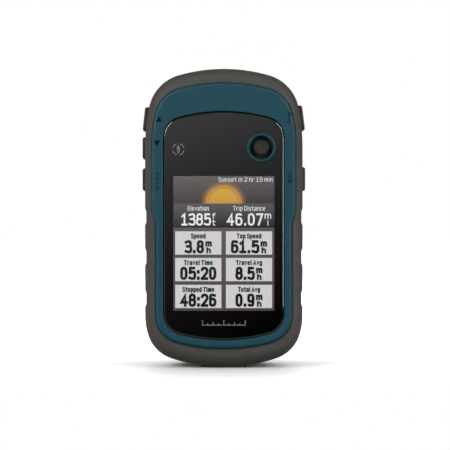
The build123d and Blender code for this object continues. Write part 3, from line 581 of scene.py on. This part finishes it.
def bar(x0, z0, x1, z1, width):
    """A straight bar from one point to another, with square ends half its width further out."""
    along = Vector((x1 - x0, z1 - z0)).normalized() * width / 2
    side = Vector((-along.y, along.x))
    return [
        (x0 - along.x - side.x, z0 - along.y - side.y),
        (x1 + along.x - side.x, z1 + along.y - side.y),
        (x1 + along.x + side.x, z1 + along.y + side.y),
        (x0 - along.x + side.x, z0 - along.y + side.y),
    ]


def mesh_from(bm, name):
    """Turn a finished bmesh into a mesh."""
    mesh = bpy.data.meshes.new(name)
    bm.to_mesh(mesh)
    bm.free()
    return mesh


def add_plate(bm, points, y_front, y_back):
    """A thin closed plate between two depths, from (x, z) points in order."""
    front = [bm.verts.new((x, y_front, z)) for x, z in points]
    back = [bm.verts.new((x, y_back, z)) for x, z in points]
    bm.faces.new(front)
    bm.faces.new(list(reversed(back)))
    for i in range(len(points)):
        j = (i + 1) % len(points)
        bm.faces.new((front[j], front[i], back[i], back[j]))


def plate_mesh(name, outlines, y_front, y_back):
    """One mesh with a thin plate for each outline."""
    bm = bmesh.new()
    for points in outlines:
        add_plate(bm, points, y_front, y_back)
    bmesh.ops.recalc_face_normals(bm, faces=bm.faces)
    return mesh_from(bm, name)


def join_meshes(name, meshes):
    bm = bmesh.new()
    for mesh in meshes:
        bm.from_mesh(mesh)
        bpy.data.meshes.remove(mesh)
    return mesh_from(bm, name)


def add_piece(name, mesh, material, body):
    """A piece that moves with a CAD body and takes the material it is given."""
    piece = bpy.data.objects.new(name, mesh)
    SCENE.collection.objects.link(piece)
    mesh.materials.clear()
    mesh.materials.append(material)
    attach(piece, body)


# ---- letters ----------------------------------------------------------------------------------------
# Each letter is its width and its pen strokes, in capital heights. A stroke is straight (-), smoothed (~)
# or a smoothed loop (o), then its points.
LETTERS = {
    "0": (0.56, "o 0,.5 0,1 .56,1 .56,0 0,0"),
    "1": (0.50, "- 0,.8 .26,1 .26,0; - 0,0 .5,0"),
    "2": (0.56, "~ 0,.84 .08,1 .52,1 .62,.66 .4,.4 0,0; - 0,0 .56,0"),
    "3": (0.56, "~ 0,.92 .2,1 .56,1 .56,.54 .16,.54; ~ .16,.54 .62,.54 .62,0 .2,0 0,.07"),
    "4": (0.60, "- .44,0 .44,1 0,.29 .6,.29"),
    "5": (0.56, "- .5,1 .06,1 .05,.56; ~ .05,.56 .3,.64 .62,.62 .6,0 .22,0 0,.07"),
    "6": (0.56, "~ .5,.96 .3,1 0,1 0,.36; o 0,.3 0,.62 .57,.62 .57,0 0,0"),
    "7": (0.56, "- 0,1 .56,1 .18,0"),
    "8": (0.56, "o .28,.53 .54,.53 .54,1 .02,1 .02,.53; o .28,.53 .58,.53 .58,0 -.02,0 -.02,.53"),
    "9": (0.56, "~ .06,.04 .26,0 .56,0 .56,.64; o 0,.7 0,1 .57,1 .57,.38 0,.38"),
    ":": (0.10, "- .05,.6 .05,.68; - .05,.0 .05,.08"),
    ".": (0.10, "- .05,0 .05,.06"),
    "A": (0.66, "- 0,0 .33,1 .66,0; - .1,.28 .56,.28"),
    "D": (0.56, "- 0,0 0,1; ~ 0,1 .3,1 .6,.95 .6,.05 .3,0 0,0"),
    "E": (0.46, "- .46,1 0,1 0,0 .46,0; - 0,.52 .42,.52"),
    "S": (0.52, "~ .5,.92 .38,1 0,1 0,.56 .53,.5 .53,0 .1,0 0,.08"),
    "T": (0.60, "- 0,1 .6,1; - .3,1 .3,0"),
    "a": (0.46, "~ .04,.7 .2,.76 .46,.78 .46,0; ~ .46,.38 .2,.4 0,.38 0,0 .25,0 .46,.1"),
    "c": (0.40, "~ .4,.68 .3,.74 0,.76 0,0 .3,0 .4,.06"),
    "d": (0.46, "- .46,1 .46,0; ~ .46,.55 .36,.76 0,.76 0,0 .36,0 .46,.2"),
    "e": (0.46, "~ .03,.38 .46,.38 .46,.74 0,.78 0,0 .3,0 .44,.06"),
    "f": (0.34, "~ .36,1 .14,1 .14,.8 .14,0; - 0,.72 .32,.72"),
    "g": (0.46, "~ .46,.72 .46,-.3 .1,-.3 .02,-.24; ~ .46,.55 .36,.76 0,.76 0,0 .36,0 .46,.2"),
    "h": (0.46, "- 0,1 0,0; ~ 0,.45 .05,.74 .46,.78 .46,0"),
    "i": (0.06, "- .03,.72 .03,0; - .03,.96 .03,1"),
    "l": (0.06, "- .03,1 .03,0"),
    "m": (0.76, "- 0,.74 0,0; ~ 0,.45 .05,.74 .38,.78 .38,0; ~ .38,.45 .43,.74 .76,.78 .76,0"),
    "n": (0.46, "- 0,.74 0,0; ~ 0,.45 .05,.74 .46,.78 .46,0"),
    "o": (0.48, "o 0,.37 0,.76 .48,.76 .48,0 0,0"),
    "p": (0.46, "- 0,.74 0,-.3; ~ 0,.55 .1,.76 .48,.76 .48,0 .1,0 0,.2"),
    "r": (0.30, "- 0,.74 0,0; ~ 0,.4 .05,.74 .3,.74"),
    "s": (0.40, "~ .38,.68 .3,.74 0,.74 0,.42 .4,.36 .4,0 .1,0 0,.06"),
    "t": (0.34, "~ .14,1 .14,.05 .2,0 .34,0; - 0,.72 .34,.72"),
    "u": (0.46, "~ 0,.74 0,0 .4,0 .46,.25; - .46,.74 .46,0"),
    "v": (0.48, "- 0,.74 .24,0 .48,.74"),
}
LETTER_GAP, WORD_GAP = 0.2, 0.3


def smoothed(points, loop, rounds=3):
    """Cut the corners of a line again and again, which turns it into a smooth curve."""
    for _ in range(rounds):
        pairs = zip(points, points[1:] + points[:1]) if loop else zip(points, points[1:])
        cut = []
        for a, b in pairs:
            cut += [a.lerp(b, 0.25), a.lerp(b, 0.75)]
        points = cut if loop else [points[0], *cut[1:-1], points[-1]]
    return points


def pen_strokes(words, gap):
    """The centre lines of a row of letters, as (points, loop) in capital heights, and the row's width."""
    strokes, cursor = [], 0.0
    for letter in words:
        if letter == " ":
            cursor += WORD_GAP
            continue
        width, recipe = LETTERS[letter]
        for part in recipe.split(";"):
            kind, *pairs = part.split()
            points = [Vector([float(number) for number in pair.split(",")]) for pair in pairs]
            loop = kind == "o"
            if kind != "-":
                points = smoothed(points, loop)
            strokes.append(([point + Vector((cursor, 0)) for point in points], loop))
        cursor += width + gap
    return strokes, cursor - gap


def add_ribbon(bm, points, loop, pen, y_front, y_back):
    """A flat solid bar, pen wide, that follows a line in the front plane."""
    if not loop:
        points = [points[0] + (points[0] - points[1]).normalized() * pen / 2, *points[1:-1],
                  points[-1] + (points[-1] - points[-2]).normalized() * pen / 2]
    rings = []
    for i, point in enumerate(points):
        before = points[i - 1] if i or loop else point
        after = points[(i + 1) % len(points)] if i < len(points) - 1 or loop else point
        ways = [way.normalized() for way in (point - before, after - point) if way.length > 0]
        along = sum(ways, Vector((0, 0))).normalized()
        out = Vector((-along.y, along.x)) * pen / 2 / max(0.5, along.dot(ways[0]))
        sides = (point + out, point - out)
        rings.append([bm.verts.new((side.x, y, side.y)) for y in (y_front, y_back) for side in sides])
    joins = zip(rings, rings[1:] + rings[:1]) if loop else zip(rings, rings[1:])
    for a, b in joins:
        for i, j in ((0, 1), (1, 3), (3, 2), (2, 0)):
            bm.faces.new((a[i], a[j], b[j], b[i]))
    if not loop:
        for ring in (rings[0], rings[-1]):
            bm.faces.new((ring[0], ring[1], ring[3], ring[2]))


def text_mesh(words, left, base, cap, wide, y_front, thick, pen):
    """Solid letters in the front plane: capitals cap high, the row exactly wide across."""
    strokes, row = pen_strokes(words, LETTER_GAP + pen)
    pen *= cap
    bm = bmesh.new()
    for points, loop in strokes:
        spots = []
        for point in points:
            x = left + pen / 2 + point.x * (wide - pen) / row
            z = base + pen / 2 + point.y * (cap - pen)
            spots.append(Vector((x, z)))
        add_ribbon(bm, spots, loop, pen, y_front, y_front + thick)
    bmesh.ops.recalc_face_normals(bm, faces=bm.faces)
    return mesh_from(bm, words)


# ---- the display picture ----------------------------------------------------------------------------
def across(distance):
    """The x of a distance across the display, in millimetres."""
    return SCREEN_LEFT + distance * MM


def down(distance):
    """The z of a distance down the display, in millimetres."""
    return SCREEN_TOP - distance * MM


def layer(index):
    """Front and back depth of a display layer, 0 nearest the panel."""
    back = PANEL_FACE - index * LAYER
    return back - LAYER, back


def screen_piece(name, outlines, index, material):
    front, back = layer(index)
    add_piece(name, plate_mesh(name, outlines, front, back), material, "case")


def words_at(words, left, right, foot, cap, pen):
    """Letters between two distances across the display, standing on a line at a distance down it."""
    wide = (right - left) * MM
    return text_mesh(words, across(left), down(foot), cap * MM, wide, layer(2)[0], LAYER, pen)


def readout(label, label_wide, value, value_wide, units, middle, top, style):
    """The letter meshes of a small label over a large value with its units stacked beside it."""
    label_cap, value_cap, label_pen, value_pen, unit_pen = style
    left = middle - label_wide / 2
    meshes = [words_at(label, left, left + label_wide, top + LABEL_FOOT, label_cap, label_pen)]
    foot = top + VALUE_FOOT
    unit_wide = 2 * max((UNIT_SHAPES[letter][0] for letter in units), default=0.0)
    gap = UNIT_GAP if units else 0.0
    left = middle - (value_wide + gap + unit_wide) / 2
    meshes.append(words_at(value, left, left + value_wide, foot, value_cap, value_pen))
    unit_middle = left + value_wide + gap + unit_wide / 2
    for letter, rise in zip(units, (UNIT_STEP, 0.0)):
        half, cap = UNIT_SHAPES[letter]
        meshes.append(words_at(letter, unit_middle - half, unit_middle + half, foot - rise, cap, unit_pen))
    return meshes


def readout_row(readouts, top, style):
    """Two readouts side by side, each over the middle of a tile's width."""
    meshes = []
    for left, parts in zip(TILE_LEFTS, readouts):
        meshes += readout(*parts, left + TILE_WIDE / 2, top, style)
    return meshes


def make_display():
    right, bottom = SCREEN_LEFT + SCREEN_WIDE, SCREEN_TOP - SCREEN_TALL
    horizon, shelf = down(SKY_FOOT), down(BAND_FOOT)
    radius = SUN_RADIUS * MM
    sun_top = horizon + radius
    screen_piece("display_sky", [rectangle(SCREEN_LEFT, right, horizon, SCREEN_TOP)], 0, sky_material())
    screen_piece("display_band", [rectangle(SCREEN_LEFT, right, shelf, horizon)], 0,
                 fading("display_band", shelf, horizon, linear(8, 8, 8), linear(80, 79, 79)))
    screen_piece("display_frame", [rectangle(SCREEN_LEFT, right, bottom, shelf)], 0,
                 fading("display_frame", bottom, shelf, linear(84, 64, 64), linear(94, 80, 78)))
    sun = arc(across(SUN_ACROSS), horizon, radius, 0.0, 0.5, 48)
    screen_piece("display_sun", [sun], 1,
                 fading("display_sun", horizon, sun_top, linear(196, 134, 48), linear(190, 138, 52)))
    core = arc(across(SUN_ACROSS), horizon, radius * SUN_CORE, 0.0, 0.5, 48)
    screen_piece("display_sun_core", [core], 2,
                 fading("display_sun_core", horizon, sun_top, linear(208, 146, 50), linear(204, 172, 52)))
    tiles = []
    for top in TILE_TOPS:
        low, high = down(top + TILE_TALL), down(top)
        for left in TILE_LEFTS:
            tiles.append(rectangle(across(left), across(left + TILE_WIDE), low, high))
    screen_piece("display_tiles", tiles, 1, glowing("display_tile", linear(212, 212, 212)))

    pale = [words_at(TITLE, TITLE_LEFT, TITLE_RIGHT, TITLE_FOOT, TITLE_CAP, TITLE_PEN)]
    pale += readout_row(BAND_READOUTS, SKY_FOOT, PALE_STYLE)
    dark = []
    for top, readouts in zip(TILE_TOPS, TILE_READOUTS):
        dark += readout_row(readouts, top, DARK_STYLE)
    add_piece("display_light_text", join_meshes("display_light_text", pale),
              glowing("display_light_ink", linear(236, 236, 236)), "case")
    add_piece("display_dark_text", join_meshes("display_dark_text", dark),
              glowing("display_dark_ink", linear(2, 2, 3)), "case")


# ---- printed marks ----------------------------------------------------------------------------------
# Each sign is a list of outlines in millimetres, as (x, z) from its own middle.
def arrow_sign(up):
    """A triangle that points up, or down with up as -1."""
    return [[(-1.05 * up, -0.95 * up), (1.05 * up, -0.95 * up), (0.0, 1.05 * up)]]


def list_sign():
    """Four short rows, each a wider and a narrower bar."""
    bars = []
    for rise in (-2.4, -0.8, 0.8, 2.4):
        bars.append(rectangle(-0.4, 0.0, rise - 0.5, rise + 0.5))
        bars.append(rectangle(0.3, 0.6, rise - 0.5, rise + 0.5))
    return bars


def return_sign():
    """An arrow that comes from the left and turns up."""
    head = [(0.1, 2.3), (-0.75, 1.1), (0.95, 1.1)]
    return [head, rectangle(-0.15, 0.35, -1.8, 1.1), rectangle(-0.9, -0.15, -1.8, -1.3)]


def lamp_sign():
    """A power ring with its bar, above a small disc with eight rays."""
    ring = band(0, 1.0, 0.5, 0.8, 0.33, 1.17)
    ring_bar = rectangle(-0.14, 0.14, 1.3, 2.1)
    disc = arc(0, -1.0, 0.55, 0.0, 0.95, 20)
    outlines = [ring, ring_bar, disc]
    for turn in range(8):
        way = Vector((math.cos(math.pi * turn / 4), math.sin(math.pi * turn / 4)))
        near, far = way * 0.78, way * 1.12
        outlines.append(bar(near.x, near.y - 1.0, far.x, far.y - 1.0, 0.2))
    return outlines


def compass_sign():
    """A needle with a solid north and a hollow south, in a ring with four gaps."""
    north = [(0.0, 1.5), (-0.6, 0.0), (0.6, 0.0)]
    south = [(0.0, -1.5), (0.6, -0.15), (0.3, -0.15), (0.0, -1.05), (-0.3, -0.15), (-0.6, -0.15)]
    ring = [band(0, 0, 1.8, 2.05, begin, begin + 0.17, 12) for begin in (0.04, 0.29, 0.54, 0.79)]
    return [north, *ring, south]


def scale_bar_sign():
    """A map's scale bar: nine ticks on a line, the tallest at its ends and middle."""
    step, half_line, half_tick = 1.82, 7.4, 0.13
    outlines = [rectangle(-half_line, half_line, -0.75, -0.5)]
    for place, tall in zip(range(-4, 5), (1.5, 0.5, 0.9, 0.5, 1.5, 0.5, 0.9, 0.5, 1.5)):
        outlines.append(rectangle(place * step - half_tick, place * step + half_tick, -0.5, -0.5 + tall))
    return outlines


def padlock_sign(open_by):
    """A padlock whose shackle is shifted to one side by open_by."""
    return [rectangle(-1.0, 1.0, -1.5, 0), band(open_by, 0.1, 0.55, 0.8, 0.0, 0.5)]


def placed(sign, x, z):
    """A sign's outlines in metres, with its middle at a place in metres."""
    return [[(x + out * MM, z + up * MM) for out, up in outline] for outline in sign]


def beside_key(key, sign):
    """A sign's outlines at its place beside a key."""
    low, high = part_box("key_" + key)
    x, rise = KEY_SIGNS[key]
    return placed(sign, x * MM, (low.z + high.z) / 2 + rise * MM)


def print_marks(name, outlines, depth, material, body):
    """A layer of ink just in front of a depth."""
    add_piece(name, plate_mesh(name, outlines, depth - INK, depth), material, body)


def make_front_marks():
    """Small plain signs beside each key."""
    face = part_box("front_bezel")[0].y
    arrows = beside_key("zoom_in", arrow_sign(1)) + beside_key("zoom_out", arrow_sign(-1))
    others = beside_key("menu", list_sign()) + beside_key("back", return_sign())
    others += beside_key("power", lamp_sign())
    print_marks("zoom_marks", arrows, face, printed("mark_ink", linear(2, 12, 34)), "case")
    print_marks("key_marks", others, face, printed("soft_ink", linear(14, 50, 62)), "case")


def make_lens_marks():
    """A compass above the display and a map scale bar below it, in pale grey ink."""
    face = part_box("display_window")[0].y
    marks = placed(compass_sign(), COMPASS_X, COMPASS_Z) + placed(scale_bar_sign(), 0, SCALE_BAR_Z)
    ink = printed("lens_ink", linear(150, 150, 150))
    print_marks("lens_marks", marks, face, ink, "case")


def make_back_marks():
    """A closed and an open padlock beside the latch."""
    ink = moulded("pale_ink", linear(150, 150, 148), 0.6, 0.1 * MM, 0.002 * MM)
    low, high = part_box("latch_spindle")
    middle = (low.z + high.z) / 2
    marks = placed(padlock_sign(0.0), -PADLOCK_X, middle) + placed(padlock_sign(0.45), PADLOCK_X, middle)
    print_marks("latch_marks", marks, COVER_FACE + INK, ink, "battery_cover")


# ---- build ------------------------------------------------------------------------------------------
SCENE.view_settings.view_transform = "Standard"
make_camera()
make_floor()
make_world()
for light in LIGHTS:
    make_light(*light)
dress_case()
dress_inside()
make_display()
make_front_marks()
make_lens_marks()
make_back_marks()
